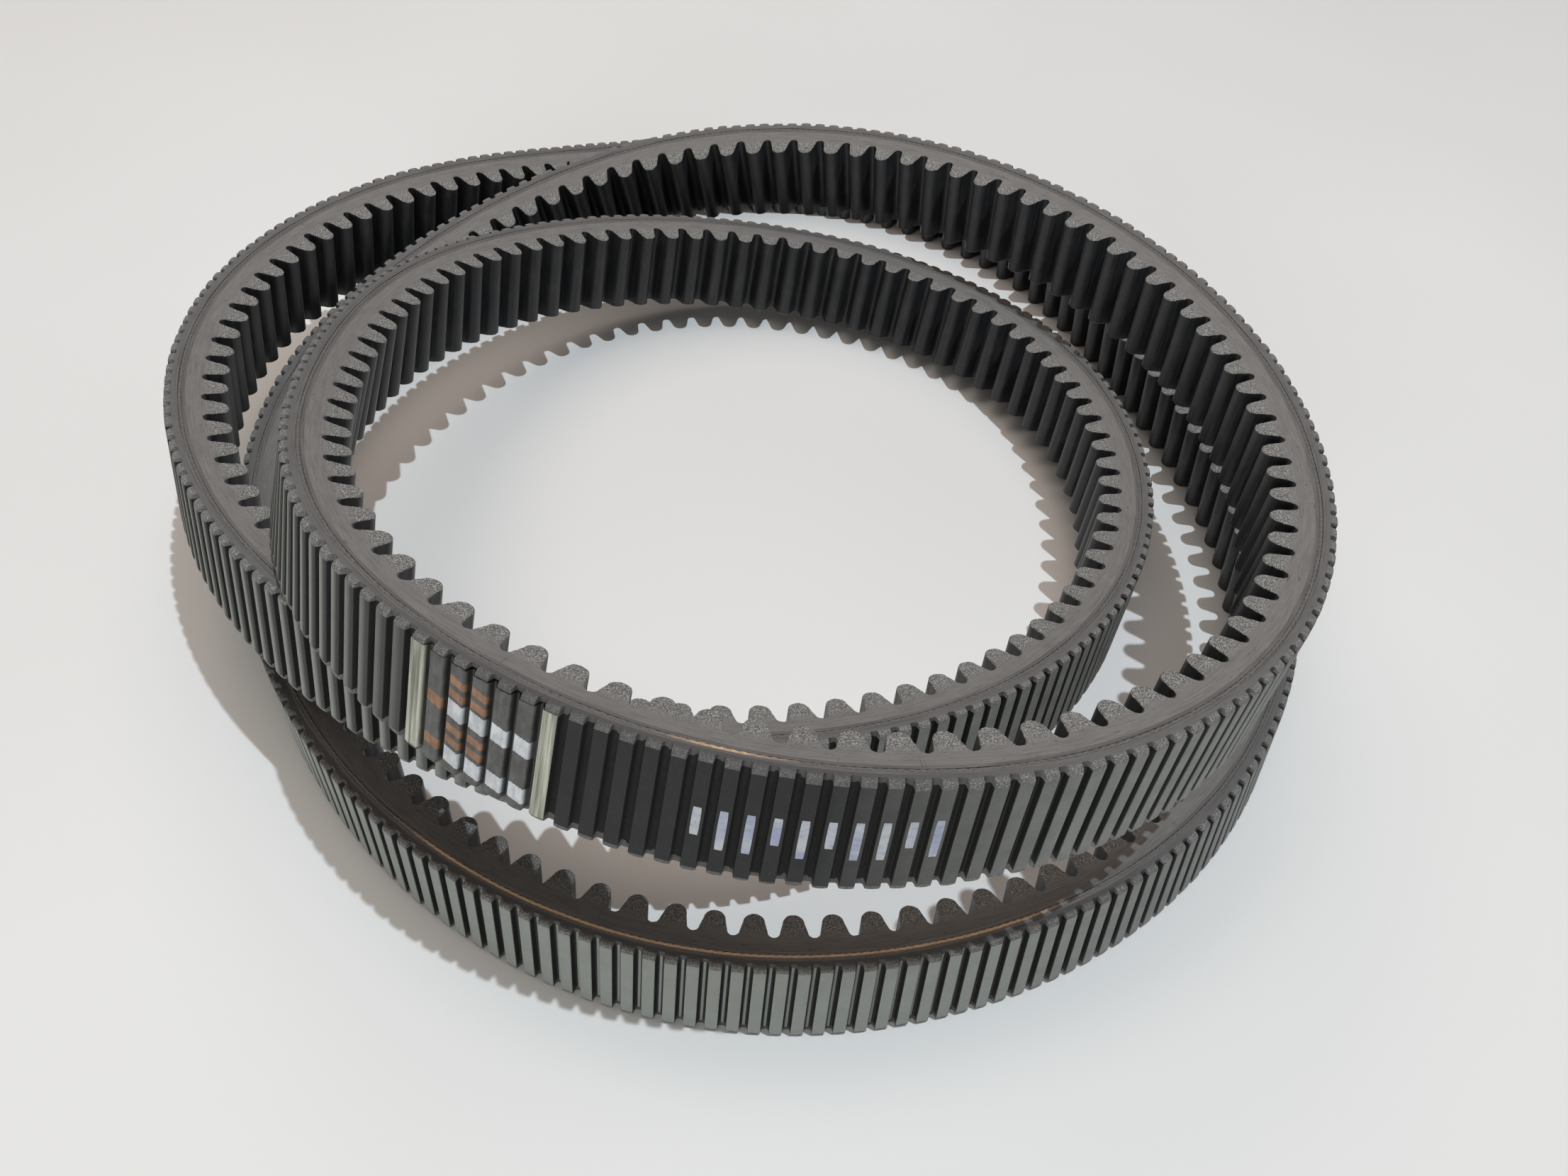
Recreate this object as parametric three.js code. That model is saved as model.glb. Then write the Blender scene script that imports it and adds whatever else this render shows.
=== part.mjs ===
// Double-cogged variable-speed belt: one endless raw-edge V-belt, stored as a loose coil of three laps.
// Units are millimetres and degrees, +Z is up, and the coil rests on z = 0 with its footprint centred.
//
// The belt's section is a trapezoid. "Depth" runs outwards from the datum line, the top of the
// cord: positive depths lie towards the ribbed outer face, negative ones towards the cogged inner
// face. "Side" runs across the belt from the lower flank to the upper one. "Station" counts inner
// cogs along the belt, with the middle of a cog at each whole station.
import * as THREE from "three";

// Driving dimensions.
const COG_PITCH = 13; // spacing of the inner cogs along the datum line
const INNER_COGS = 278;
const RIBS_PER_COG = 2;
const TOP_WIDTH = 39.6; // across the ribbed outer face
const FLANK_ANGLE = 8; // each flank's slope, half the belt's wedge angle
const GAP = 0.3; // between neighbouring layers

// Depths of the layers' faces, from the outer face to the inner one.
const RIB_TOP = 4.6;
const RIB_ROOT = 2.2;
const OVERCORD_BOTTOM = 1.2;
const CORD_TOP = 0;
const CORD_BOTTOM = -1.2;
const UNDERCORD_TOP = -2.5;
const COG_ROOT = -7.4;
const COG_TIP = -16;

// Sizes along the belt, in cog pitches, each measured from the middle of a rib, cog or groove.
const RIB_TOP_HALF = 0.15;
const COG_ROOT_HALF = 0.1;
const COG_TIP_HALF = 0.24;
const RIB_PHASE = 0.05; // station of the first groove between ribs

// The load-carrying cord is wound side by side; its first and last turns show on the cut flanks.
const EDGE_CORD_WIDTH = 1.6;

// The transfer label is a thin film pressed over a few ribs.
const LABEL_FROM = 62.55;
const LABEL_TO = 66.05;
const LABEL_THICKNESS = 0.3;
const LABEL_SIDE_MARGIN = 0.4;
const LABEL_SAG = 0.6; // how far the film dips between two ribs

const LAYER_STEP = 2; // the plain layers have one station every two cogs

// The belt's lie: control points of a closed uniform cubic B-spline through the middle of the datum
// line, travelling clockwise seen from above. Each is [x, y, z, lean], where lean in degrees tips
// the upper flank outwards. The first lap climbs over the third, and the second drops inside it.
const LIE = [
  // first lap, from under the second to the top of the pile
  [-164, 110, 25, -6],
  [-63, 166, 55, -5],
  [54, 160, 70, -2],
  [150, 92, 76, 3],
  [202, -12, 83, -3],
  [190, -130, 93, 2],
  [109, -218, 112, -8],
  [-9, -232, 117, -19],
  [-113, -180, 124, -13],
  [-153, -76, 95, -24],
  [-149, 34, 60, 5],
  [-76, 126, 30, 5],
  // second lap
  [46, 140, 18, 22],
  [144, 70, 25, 3],
  [162, -48, 38, 3],
  [109, -153, 58, -8],
  [0, -202, 69, -14],
  [-115, -177, 76, -10],
  [-200, -97, 72, -11],
  [-227, 18, 57, -5],
  [-182, 124, 43, -3],
  [-97, 200, 18, -4],
  // third lap, lying on its lower flank
  [10, 244, 20, -8],
  [126, 200, 19, -8],
  [179, 98, 19, -8],
  [225, -6, 19, -8],
  [206, -125, 19, -8],
  [128, -208, 19, -8],
  [10, -242, 19, -8],
  [-102, -203, 20, -1],
  [-176, -113, 20, 0],
  [-208, -2, 20, -8],
];

const slope = Math.tan(THREE.MathUtils.degToRad(FLANK_ANGLE));

// Half of the belt's width at a depth.
function halfWidth(depth) {
  return TOP_WIDTH / 2 - (RIB_TOP - depth) * slope;
}

// The B-spline's [x, y, z, lean] at t from 0 to 1 round the loop.
function lieAt(t) {
  const count = LIE.length;
  const scaled = (((t % 1) + 1) % 1) * count;
  const first = Math.floor(scaled);
  const u = scaled - first;
  const weights = [
    (1 - u) ** 3 / 6,
    (3 * u ** 3 - 6 * u ** 2 + 4) / 6,
    (-3 * u ** 3 + 3 * u ** 2 + 3 * u + 1) / 6,
    u ** 3 / 6,
  ];
  const sum = [0, 0, 0, 0];
  weights.forEach((weight, i) => {
    const point = LIE[(first + i - 1 + count) % count];
    point.forEach((value, axis) => (sum[axis] += weight * value));
  });
  return sum;
}

// The lie turned into evenly spaced stations, so that every cog has the same length.
class Route {
  constructor(samples = 4000) {
    this.samples = samples;
    this.lengths = [0];
    let last = new THREE.Vector3(...lieAt(0));
    for (let i = 1; i <= samples; i++) {
      const next = new THREE.Vector3(...lieAt(i / samples));
      this.lengths.push(this.lengths[i - 1] + next.distanceTo(last));
      last = next;
    }
    this.scale = (COG_PITCH * INNER_COGS) / this.lengths[samples];
  }

  parameter(station) {
    const wanted = (station / INNER_COGS) * this.lengths[this.samples];
    let low = 0;
    let high = this.samples;
    while (high - low > 1) {
      const middle = (low + high) >> 1;
      if (this.lengths[middle] <= wanted) low = middle;
      else high = middle;
    }
    const part = (wanted - this.lengths[low]) / (this.lengths[high] - this.lengths[low]);
    return (low + part) / this.samples;
  }

  // The section's frame at a station: a point on the datum line, and the side and depth directions.
  frame(station) {
    const t = this.parameter(((station % INNER_COGS) + INNER_COGS) % INNER_COGS);
    const step = 1e-4;
    const [x, y, z, lean] = lieAt(t);
    const ahead = new THREE.Vector3(...lieAt(t + step));
    const behind = new THREE.Vector3(...lieAt(t - step));
    const along = ahead.sub(behind).normalize();
    const out = new THREE.Vector3(-along.y, along.x, 0).normalize();
    const up = new THREE.Vector3().crossVectors(along, out).normalize();
    if (up.z < 0) up.negate();
    const angle = THREE.MathUtils.degToRad(lean);
    const side = up.clone().multiplyScalar(Math.cos(angle)).addScaledVector(out, Math.sin(angle));
    const depth = out.multiplyScalar(Math.cos(angle)).addScaledVector(up, -Math.sin(angle));
    return { centre: new THREE.Vector3(x, y, z).multiplyScalar(this.scale), side, depth };
  }

  point(station, side, depth) {
    const frame = this.frame(station);
    return frame.centre.addScaledVector(frame.side, side).addScaledVector(frame.depth, depth);
  }
}

const route = new Route();

// Outlines of a layer's face along the belt, as lists of [station, depth].
function plainFace(depth) {
  const face = [];
  for (let station = 0; station < INNER_COGS; station += LAYER_STEP) face.push([station, depth]);
  return face;
}

function coggedFace() {
  const face = [];
  for (let station = 0; station < INNER_COGS; station++) {
    const root = station + 0.5;
    face.push([station - COG_TIP_HALF, COG_TIP], [station + COG_TIP_HALF, COG_TIP]);
    face.push([root - COG_ROOT_HALF, COG_ROOT], [root + COG_ROOT_HALF, COG_ROOT]);
  }
  return face;
}

function ribsBetween(from, to, rootDepth, topDepth) {
  const pitch = 1 / RIBS_PER_COG;
  const face = [];
  for (let station = from; station < to - pitch / 2; station += pitch) {
    face.push([station, rootDepth]);
    face.push([station + pitch / 2 - RIB_TOP_HALF, topDepth]);
    face.push([station + pitch / 2 + RIB_TOP_HALF, topDepth]);
  }
  return face;
}

// A body between two faces, each a list of [station, depth]. reach(depth, end) gives the side of
// the body's edge, with end +1 for the upper edge and -1 for the lower one.
function bodyBetween(inner, outer, reach, closed) {
  const positions = [];
  const triangles = [];
  function addFace(face) {
    const start = positions.length / 3;
    for (const [station, depth] of face) {
      for (const end of [1, -1]) {
        positions.push(...route.point(station, reach(depth, end), depth).toArray());
      }
    }
    return start;
  }
  const starts = { inner: addFace(inner), outer: addFace(outer) };
  const upper = (face, i) => starts[face] + 2 * i;
  const lower = (face, i) => starts[face] + 2 * i + 1;
  function quad(a, b, c, d) {
    triangles.push(a, b, c, a, c, d);
  }

  const laps = closed ? 0 : 1;
  for (let i = 0; i < inner.length - laps; i++) {
    const next = (i + 1) % inner.length;
    quad(upper("inner", i), lower("inner", i), lower("inner", next), upper("inner", next));
  }
  for (let i = 0; i < outer.length - laps; i++) {
    const next = (i + 1) % outer.length;
    quad(upper("outer", i), upper("outer", next), lower("outer", next), lower("outer", i));
  }

  // A closed layer's flank is a strip between two rails, which run along the points of each face
  // that are nearest to the other one. Each cog or rib beyond a rail is filled in by itself. An open
  // layer has points opposite each other, so there every point is on the rail.
  function railOf(face, nearest) {
    const limit = nearest(...face.map(([, depth]) => depth));
    return [...face.keys()].filter((i) => !closed || face[i][1] === limit);
  }
  function fillTeeth(name, face, rail, turned) {
    rail.forEach((start, i) => {
      const span = (rail[(i + 1) % rail.length] - start + face.length) % face.length;
      for (let step = 1; step < span; step++) {
        let a = (start + step) % face.length;
        let b = (start + step + 1) % face.length;
        if (turned) [a, b] = [b, a];
        triangles.push(upper(name, start), upper(name, a), upper(name, b));
        triangles.push(lower(name, start), lower(name, b), lower(name, a));
      }
    });
  }
  const innerRail = railOf(inner, Math.max);
  const outerRail = railOf(outer, Math.min);
  if (closed) {
    fillTeeth("inner", inner, innerRail, false);
    fillTeeth("outer", outer, outerRail, true);
  }

  // The strip steps along whichever rail is behind.
  let a = 0;
  let b = 0;
  function stationOn(face, rail, i) {
    return i < rail.length ? face[rail[i]][0] : face[rail[i - rail.length]][0] + INNER_COGS;
  }
  const innerSteps = innerRail.length - laps;
  const outerSteps = outerRail.length - laps;
  while (a < innerSteps || b < outerSteps) {
    const i = innerRail[a % innerRail.length];
    const j = outerRail[b % outerRail.length];
    const innerBehind = stationOn(inner, innerRail, a + 1) <= stationOn(outer, outerRail, b + 1);
    if (b >= outerSteps || (a < innerSteps && innerBehind)) {
      const next = innerRail[(a + 1) % innerRail.length];
      triangles.push(upper("inner", i), upper("inner", next), upper("outer", j));
      triangles.push(lower("inner", i), lower("outer", j), lower("inner", next));
      a++;
    } else {
      const next = outerRail[(b + 1) % outerRail.length];
      triangles.push(upper("inner", i), upper("outer", next), upper("outer", j));
      triangles.push(lower("inner", i), lower("outer", j), lower("outer", next));
      b++;
    }
  }

  if (!closed) {
    quad(upper("inner", 0), upper("outer", 0), lower("outer", 0), lower("inner", 0));
    const i = inner.length - 1;
    const j = outer.length - 1;
    quad(lower("inner", i), lower("outer", j), upper("outer", j), upper("inner", i));
  }

  const geometry = new THREE.BufferGeometry();
  geometry.setAttribute("position", new THREE.Float32BufferAttribute(positions, 3));
  geometry.setIndex(triangles);
  geometry.computeVertexNormals();
  return geometry;
}

const fullWidth = (depth, end) => end * halfWidth(depth);
const betweenEdgeCords = (depth, end) => end * (halfWidth(depth) - EDGE_CORD_WIDTH - GAP);
const labelWidth = (depth, end) => end * (TOP_WIDTH / 2 - LABEL_SIDE_MARGIN);

// The strip of side that an exposed cord turn takes at one flank.
function edgeCord(flank) {
  return (depth, end) => {
    const outerSide = halfWidth(depth);
    return flank * (end === flank ? outerSide : outerSide - EDGE_CORD_WIDTH);
  };
}

function material(color, roughness, metalness = 0) {
  return new THREE.MeshStandardMaterial({ color, roughness, metalness, flatShading: true });
}

const RUBBER = material(0x2b2c2d, 0.75);
const RIB_RUBBER = material(0x343835, 0.55);
const GUM = material(0x3a3735, 0.8);
const CORD = material(0xb07a45, 0.9);
const LABEL = material(0xd8d9b4, 0.35);

const belt = new THREE.Group();

function addLayer(name, innerFace, outerFace, reach, look, closed = true) {
  const mesh = new THREE.Mesh(bodyBetween(innerFace, outerFace, reach, closed), look);
  mesh.name = name;
  belt.add(mesh);
  return mesh;
}

// Compression rubber with the deep cogs.
addLayer("undercord_rubber", coggedFace(), plainFace(UNDERCORD_TOP), fullWidth, RUBBER);

// A plain strip between two depths.
function addStrip(name, bottom, top, reach, look) {
  return addLayer(name, plainFace(bottom), plainFace(top), reach, look);
}

// Adhesion rubber on both sides of the cord.
addStrip("lower_cushion_gum", UNDERCORD_TOP + GAP, CORD_BOTTOM - GAP, fullWidth, GUM);
addStrip("upper_cushion_gum", CORD_TOP + GAP, OVERCORD_BOTTOM - GAP, fullWidth, GUM);

// The helical cord, with its first and last turns cut open at the flanks.
addStrip("tensile_cord_ply", CORD_BOTTOM, CORD_TOP, betweenEdgeCords, CORD);
addStrip("upper_edge_cord", CORD_BOTTOM, CORD_TOP, edgeCord(1), CORD);
addStrip("lower_edge_cord", CORD_BOTTOM, CORD_TOP, edgeCord(-1), CORD);

// Top rubber with the shallow transverse ribs.
const allRibs = ribsBetween(RIB_PHASE, RIB_PHASE + INNER_COGS, RIB_ROOT, RIB_TOP);
addLayer("overcord_rubber", plainFace(OVERCORD_BOTTOM), allRibs, fullWidth, RIB_RUBBER);

// The film lies on the rib tops, dips a little between them, and ends on its first and last ribs.
function labelFace(lift) {
  return ribsBetween(LABEL_FROM, LABEL_TO, RIB_TOP + lift - LABEL_SAG, RIB_TOP + lift).slice(1);
}
addLayer("transfer_label", labelFace(GAP), labelFace(GAP + LABEL_THICKNESS), labelWidth, LABEL, false);

// The origin lies under the middle of the coil's footprint, on the surface that it rests on.
const box = new THREE.Box3().setFromObject(belt, true);
const middle = box.getCenter(new THREE.Vector3());
for (const mesh of belt.children) mesh.geometry.translate(-middle.x, -middle.y, -box.min.z);

export default belt;
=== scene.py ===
"""Looks for the coiled double-cogged variable-speed belt.

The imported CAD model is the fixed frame. Every layer of the belt is rebuilt here at full detail
along the same lie: rounded cogs, moulded ribs with filleted grooves, a twisted cord at each cut
flank, a transfer label and a few ink marks. Lengths are millimetres, as in the CAD, until Route
turns them into the frame's metres.
"""

import math

import bpy
import numpy as np
from mathutils import Matrix, Vector


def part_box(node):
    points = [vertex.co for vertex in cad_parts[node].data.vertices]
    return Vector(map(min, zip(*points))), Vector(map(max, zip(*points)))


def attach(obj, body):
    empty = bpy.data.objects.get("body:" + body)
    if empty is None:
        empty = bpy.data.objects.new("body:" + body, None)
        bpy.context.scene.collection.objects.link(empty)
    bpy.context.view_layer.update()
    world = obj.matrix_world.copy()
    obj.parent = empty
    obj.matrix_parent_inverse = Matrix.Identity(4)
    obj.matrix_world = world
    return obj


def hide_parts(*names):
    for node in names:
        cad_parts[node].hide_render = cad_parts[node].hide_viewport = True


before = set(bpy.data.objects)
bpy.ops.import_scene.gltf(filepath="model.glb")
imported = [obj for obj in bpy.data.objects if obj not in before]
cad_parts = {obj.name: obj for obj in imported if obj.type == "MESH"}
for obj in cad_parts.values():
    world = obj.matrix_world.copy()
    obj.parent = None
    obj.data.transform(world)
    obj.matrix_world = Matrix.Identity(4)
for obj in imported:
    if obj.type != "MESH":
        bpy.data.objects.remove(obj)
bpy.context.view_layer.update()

MM = 0.001

# The belt, as the CAD has it. Depth runs outwards from the top of the cord, side from the lower
# flank to the upper one, and a station is one inner cog.
COG_PITCH = 13
INNER_COGS = 278
RIBS_PER_COG = 2
RIB_PITCH = COG_PITCH / RIBS_PER_COG
RIB_PHASE = 0.05
TOP_WIDTH = 39.6
FLANK_ANGLE = 8
RIB_TOP = 4.6
RIB_ROOT = 2.2
OVERCORD_BOTTOM = 1.2
CORD_TOP = 0
CORD_BOTTOM = -1.2
UNDERCORD_TOP = -2.5
COG_ROOT = -7.4
COG_TIP = -16
GAP = 0.3
RIB_TOP_HALF = 0.15
LABEL_FROM = 62.55
LABEL_TO = 66.05

# Control points of the lie, [x, y, z, lean], as in the CAD.
LIE = np.array([
    # first lap, from under the second to the top of the pile
    [-164, 110, 25, -6],
    [-63, 166, 55, -5],
    [54, 160, 70, -2],
    [150, 92, 76, 3],
    [202, -12, 83, -3],
    [190, -130, 93, 2],
    [109, -218, 112, -8],
    [-9, -232, 117, -19],
    [-113, -180, 124, -13],
    [-153, -76, 95, -24],
    [-149, 34, 60, 5],
    [-76, 126, 30, 5],
    # second lap
    [46, 140, 18, 22],
    [144, 70, 25, 3],
    [162, -48, 38, 3],
    [109, -153, 58, -8],
    [0, -202, 69, -14],
    [-115, -177, 76, -10],
    [-200, -97, 72, -11],
    [-227, 18, 57, -5],
    [-182, 124, 43, -3],
    [-97, 200, 18, -4],
    # third lap, lying on its lower flank
    [10, 244, 20, -8],
    [126, 200, 19, -8],
    [179, 98, 19, -8],
    [225, -6, 19, -8],
    [206, -125, 19, -8],
    [128, -208, 19, -8],
    [10, -242, 19, -8],
    [-102, -203, 20, -1],
    [-176, -113, 20, 0],
    [-208, -2, 20, -8],
], float)


def lie_at(t):
    """The closed uniform cubic B-spline of the lie at each t, from 0 to 1 round the loop."""
    count = len(LIE)
    scaled = np.mod(t, 1.0) * count
    first = np.floor(scaled).astype(int)
    u = scaled - first
    weights = (
        (1 - u) ** 3 / 6,
        (3 * u**3 - 6 * u**2 + 4) / 6,
        (-3 * u**3 + 3 * u**2 + 3 * u + 1) / 6,
        u**3 / 6,
    )
    return sum(w[:, None] * LIE[(first + i - 1) % count] for i, w in enumerate(weights))


def half_width(depth):
    return TOP_WIDTH / 2 - (RIB_TOP - depth) * math.tan(math.radians(FLANK_ANGLE))


def cad_rib_corners():
    """Stations and depths of the CAD's ribbed face and of the plain face under it."""
    grooves = RIB_PHASE + np.arange(INNER_COGS * RIBS_PER_COG) / RIBS_PER_COG
    middles = grooves + 0.5 / RIBS_PER_COG
    plain = np.arange(0, INNER_COGS, 2)
    stations = np.concatenate([grooves, middles - RIB_TOP_HALF, middles + RIB_TOP_HALF, plain])
    depths = np.repeat(
        [RIB_ROOT, RIB_TOP, RIB_TOP, OVERCORD_BOTTOM],
        [len(grooves), len(grooves), len(grooves), len(plain)],
    )
    return stations, depths


class Route:
    """The lie measured into even stations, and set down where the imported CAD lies."""

    SAMPLES = 4000
    STEP = 1e-4  # the lie's direction is taken between points this far either side

    def __init__(self):
        self.t = np.linspace(0, 1, self.SAMPLES + 1)
        spans = np.linalg.norm(np.diff(lie_at(self.t)[:, :3], axis=0), axis=1)
        self.lengths = np.concatenate([[0], np.cumsum(spans)])
        self.scale = COG_PITCH * INNER_COGS / self.lengths[-1]
        self.origin = np.zeros(3)

    def axes(self, station):
        """Centre, side and depth directions at each station; the centre is in metres."""
        share = np.mod(station, INNER_COGS) / INNER_COGS
        t = np.interp(share * self.lengths[-1], self.lengths, self.t)
        here = lie_at(t)
        along = lie_at(t + self.STEP)[:, :3] - lie_at(t - self.STEP)[:, :3]
        along /= np.linalg.norm(along, axis=1, keepdims=True)
        out = np.stack([-along[:, 1], along[:, 0], np.zeros(len(along))], axis=1)
        out /= np.linalg.norm(out, axis=1, keepdims=True)
        up = np.cross(along, out)
        up *= np.where(up[:, 2:] < 0, -1, 1)
        lean = np.radians(here[:, 3:])
        side = up * np.cos(lean) + out * np.sin(lean)
        depth = out * np.cos(lean) - up * np.sin(lean)
        return here[:, :3] * self.scale * MM + self.origin, side, depth

    def points(self, station, side, depth):
        """Points in the frame, in metres, for arrays of the same shape, one row to a point."""
        station, side, depth = np.broadcast_arrays(station, side, depth)
        centre, side_way, depth_way = self.axes(np.ravel(station).astype(float))
        return centre + side_way * side.reshape(-1, 1) * MM + depth_way * depth.reshape(-1, 1) * MM

    def set_down_on(self, node):
        """Moves the route so that the CAD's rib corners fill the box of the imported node."""
        station, depth = cad_rib_corners()
        outline = np.concatenate(
            [self.points(station, end * half_width(depth), depth) for end in (1, -1)]
        )
        low, high = (np.array(corner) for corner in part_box(node))
        self.origin = (low + high) / 2 - (outline.min(0) + outline.max(0)) / 2


route = Route()
route.set_down_on("overcord_rubber")


# ---------------------------------------------------------------- meshes

SHARP_ANGLE = 35  # degrees; sharper edges are left hard
FINE_SHARP_ANGLE = 60  # the same for the cords, the film and the ink


def signed_volume(points, faces):
    """Volume of a closed quad mesh, positive when its faces look out."""
    a, b, c, d = (points[faces[:, i]] for i in range(4))
    return float((np.cross(a, b) * c).sum() + (np.cross(a, c) * d).sum()) / 6


def make_object(name, belt_place, faces, materials, face_materials=None, sharp=SHARP_ANGLE):
    """A closed mesh of quads from (station, side, depth) arrays.

    Each vertex keeps its (distance along the belt, depth, side) in the attribute "place".
    """
    station, side, depth = np.broadcast_arrays(*belt_place)
    points = route.points(station, side, depth)
    if signed_volume(points, faces) < 0:
        faces = faces[:, ::-1]
    mesh = bpy.data.meshes.new(name)
    mesh.vertices.add(len(points))
    mesh.vertices.foreach_set("co", points.astype(np.float32).ravel())
    count, corners = faces.shape
    mesh.loops.add(count * corners)
    mesh.loops.foreach_set("vertex_index", faces.astype(np.int32).ravel())
    mesh.polygons.add(count)
    mesh.polygons.foreach_set(
        "loop_start", np.arange(0, count * corners, corners, dtype=np.int32)
    )
    if face_materials is not None:
        mesh.polygons.foreach_set("material_index", face_materials.astype(np.int32))
    for material in materials:
        mesh.materials.append(material)
    mesh.update(calc_edges=True)
    mesh.polygons.foreach_set("use_smooth", np.ones(count, bool))
    mesh.set_sharp_from_angle(angle=math.radians(sharp))
    place = np.stack([station.ravel() * COG_PITCH, depth.ravel(), side.ravel()], axis=1)
    attribute = mesh.attributes.new("place", "FLOAT_VECTOR", "POINT")
    attribute.data.foreach_set("vector", place.astype(np.float32).ravel())
    obj = bpy.data.objects.new(name, mesh)
    bpy.context.scene.collection.objects.link(obj)
    return obj


def grid_faces(rows, columns, close_rows, close_columns):
    """Quads of a grid of points numbered row by row."""
    last_row = rows if close_rows else rows - 1
    last_column = columns if close_columns else columns - 1
    i, j = np.meshgrid(np.arange(last_row), np.arange(last_column), indexing="ij")
    down = (i + 1) % rows
    right = (j + 1) % columns
    corners = [i * columns + j, i * columns + right, down * columns + right, down * columns + j]
    return np.stack([corner.ravel() for corner in corners], axis=1)


def belt_tube(name, station, side, depth, materials, column_materials=None, sharp=SHARP_ANGLE):
    """A closed ring of section loops: station, side and depth are rows x columns arrays."""
    rows, columns = np.broadcast(station, side, depth).shape
    faces = grid_faces(rows, columns, True, True)
    face_materials = None
    if column_materials is not None:
        face_materials = np.tile(column_materials, rows)
    return make_object(name, (station, side, depth), faces, materials, face_materials, sharp)


def stack_columns(columns):
    """Station, side and depth arrays from section columns of (along, side, depth)."""
    along, side, depth = (np.stack(arrays, axis=1) for arrays in zip(*columns))
    return along / COG_PITCH, side, depth


rng = np.random.default_rng(7)


def smooth_noise(count, spacing):
    """Closed random sequence from -1 to 1 that changes over about spacing samples."""
    knots = max(4, int(round(count / spacing)))
    values = rng.uniform(-1, 1, knots)
    x = np.arange(count) * knots / count
    low = np.floor(x).astype(int) % knots
    blend = x - np.floor(x)
    blend = blend * blend * (3 - 2 * blend)
    return values[low] * (1 - blend) + values[(low + 1) % knots] * blend


def arc(centre, radii, start, end, steps):
    """Points of an ellipse arc between two angles in degrees, ends included."""
    angle = np.radians(np.linspace(start, end, steps))
    x = centre[0] + radii[0] * np.cos(angle)
    y = centre[1] + radii[1] * np.sin(angle)
    return np.stack([x, y], axis=1)


def line(start, end, steps):
    """Points between two ends, both left out."""
    share = np.linspace(0, 1, steps + 2)[1:-1, None]
    return np.array(start) * (1 - share) + np.array(end) * share


def repeat_profile(unit, pitch, count, start):
    """A profile of one pitch, as (along, depth), laid end to end round the belt."""
    offsets = start + pitch * np.arange(count)
    along = (offsets[:, None] + unit[None, :, 0]).ravel()
    return along, np.tile(unit[:, 1], count)


def inset(along, depth, amount):
    """The profile moved by amount along its normal, into the material above it."""
    length = COG_PITCH * INNER_COGS
    before_along = np.roll(along, 1)
    before_along[0] -= length
    after_along = np.roll(along, -1)
    after_along[-1] += length
    dx = after_along - before_along
    dy = np.roll(depth, -1) - np.roll(depth, 1)
    size = np.hypot(dx, dy)
    return along - dy / size * amount, depth + dx / size * amount


# ---------------------------------------------------------------- undercord with the deep cogs

COG_CROWN = 3.4  # height of the elliptical crown of a cog
COG_SHOULDER_HALF = 3.64  # half the cog's thickness where the crown meets its sides
COG_FOOT_HALF = 4.49  # half its thickness where the sides meet the round root
COG_FOOT_DEPTH = -9.4
ROOT_POINTS = 7
CROWN_POINTS = 15
COG_SIDE_POINTS = 3

COG_EDGE = 0.28  # rounding of the cut edge
COG_EDGE_WAVE = 0.45  # how much the rounding varies from cog to cog, as a share of it
COG_EDGE_RAGGED = 0.3  # and how much from point to point
COG_EDGE_REACH = 0.9  # how far the rounding runs onto the face, as a share of it
COG_FACE_SHARE = 0.35  # the face's inner column, as a share of the half width


def cog_profile():
    """One cog from root middle to root middle, about along = 0."""
    half_pitch = COG_PITCH / 2
    root_radii = (half_pitch - COG_FOOT_HALF, COG_ROOT - COG_FOOT_DEPTH)
    shoulder_depth = COG_TIP + COG_CROWN
    left_root = arc((-half_pitch, COG_FOOT_DEPTH), root_radii, 90, 0, ROOT_POINTS)
    crown = arc((0, shoulder_depth), (COG_SHOULDER_HALF, COG_CROWN), 180, 360, CROWN_POINTS)
    right_root = arc((half_pitch, COG_FOOT_DEPTH), root_radii, 180, 90, ROOT_POINTS)[:-1]
    left_side = line(left_root[-1], crown[0], COG_SIDE_POINTS)
    right_side = line(crown[-1], right_root[0], COG_SIDE_POINTS)
    return np.concatenate([left_root, left_side, crown, right_side, right_root])


def build_undercord(materials):
    along, depth = repeat_profile(cog_profile(), COG_PITCH, INNER_COGS, 0)
    count = len(along)
    top = np.full(count, UNDERCORD_TOP + GAP / 2)
    columns = []
    for end in (1, -1):
        wave = COG_EDGE_WAVE * smooth_noise(count, 2)
        rounding = COG_EDGE * (1 + wave + COG_EDGE_RAGGED * rng.uniform(-1, 1, count))
        edge_along, edge_depth = inset(along, depth, rounding)
        face_side = half_width(depth) - rounding * COG_EDGE_REACH
        half_section = [
            (along, end * half_width(top), top),
            (edge_along, end * half_width(edge_depth), edge_depth),
            (along, end * face_side, depth),
            (along, end * half_width(depth) * COG_FACE_SHARE, depth),
        ]
        columns += half_section if end == 1 else half_section[::-1]
    # flank, edge, face, face, face, edge, flank, hidden top
    column_materials = (0, 0, 1, 1, 1, 0, 0, 0)
    return belt_tube("undercord", *stack_columns(columns), materials, column_materials)


# ---------------------------------------------------------------- overcord with the moulded ribs

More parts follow.
